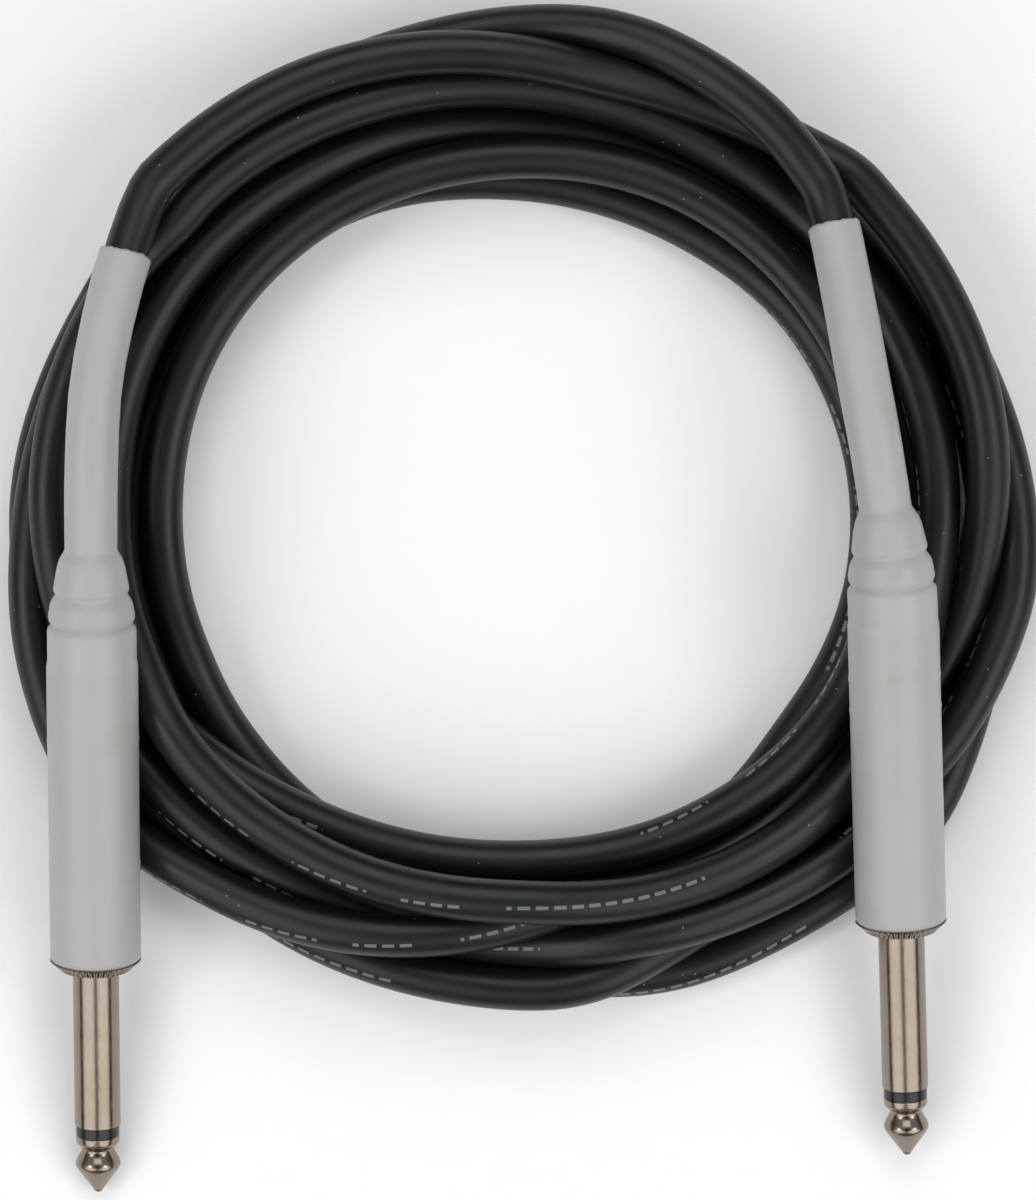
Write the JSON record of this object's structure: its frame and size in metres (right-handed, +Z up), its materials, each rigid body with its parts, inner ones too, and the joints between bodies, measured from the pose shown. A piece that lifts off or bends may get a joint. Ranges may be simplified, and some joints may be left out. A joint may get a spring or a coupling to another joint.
{
  "type": "instrument cable",
  "caption": "Coiled screened instrument lead with straight phone plugs, each under a white shrunk sleeve.",
  "frame": {"origin": "on the table the cable lies on, under the middle of the box around the two plugs with their sleeves", "axes": "+Z up from the table, +Y from the plugs' tips towards the coil, +X from the left plug to the right one"},
  "size_m": [0.145, 0.1672, 0.0294],
  "materials": {
    "nickel_plate": "polished nickel plate on turned brass",
    "black_acetal": "glossy moulded plastic",
    "tinned_brass": "tinned stamped brass",
    "phenolic_board": "punched phenolic board",
    "solder": "dull soft solder",
    "copper": "bare copper strands",
    "core_plastic": "extruded polyethylene",
    "liner_film": "clear film tube",
    "relief_plastic": "moulded plastic",
    "white_shrink_tubing": "shrunk polyolefin tubing, white, satin",
    "cable_jacket": "extruded soft PVC, black, satin"
  },
  "bodies": {
    "root": {"cable_coil": "cable_jacket", "left_cable_end": "cable_jacket", "left_conductor": "copper", "left_core_insulation": "core_plastic", "left_ground_lug": "tinned_brass", "left_ground_solder": "solder", "left_handle": "nickel_plate", "left_liner": "liner_film", "left_lug_washer": "phenolic_board", "left_screen": "copper", "left_shrink_sleeve": "white_shrink_tubing", "left_sleeve_contact": "nickel_plate", "left_strain_relief": "relief_plastic", "left_tip_contact": "nickel_plate", "left_tip_insulator": "black_acetal", "left_tip_lug": "tinned_brass", "left_tip_solder": "solder", "right_cable_end": "cable_jacket", "right_conductor": "copper", "right_core_insulation": "core_plastic", "right_ground_lug": "tinned_brass", "right_ground_solder": "solder", "right_handle": "nickel_plate", "right_liner": "liner_film", "right_lug_washer": "phenolic_board", "right_screen": "copper", "right_shrink_sleeve": "white_shrink_tubing", "right_sleeve_contact": "nickel_plate", "right_strain_relief": "relief_plastic", "right_tip_contact": "nickel_plate", "right_tip_insulator": "black_acetal", "right_tip_lug": "tinned_brass", "right_tip_solder": "solder"}
  },
  "joints": []
}
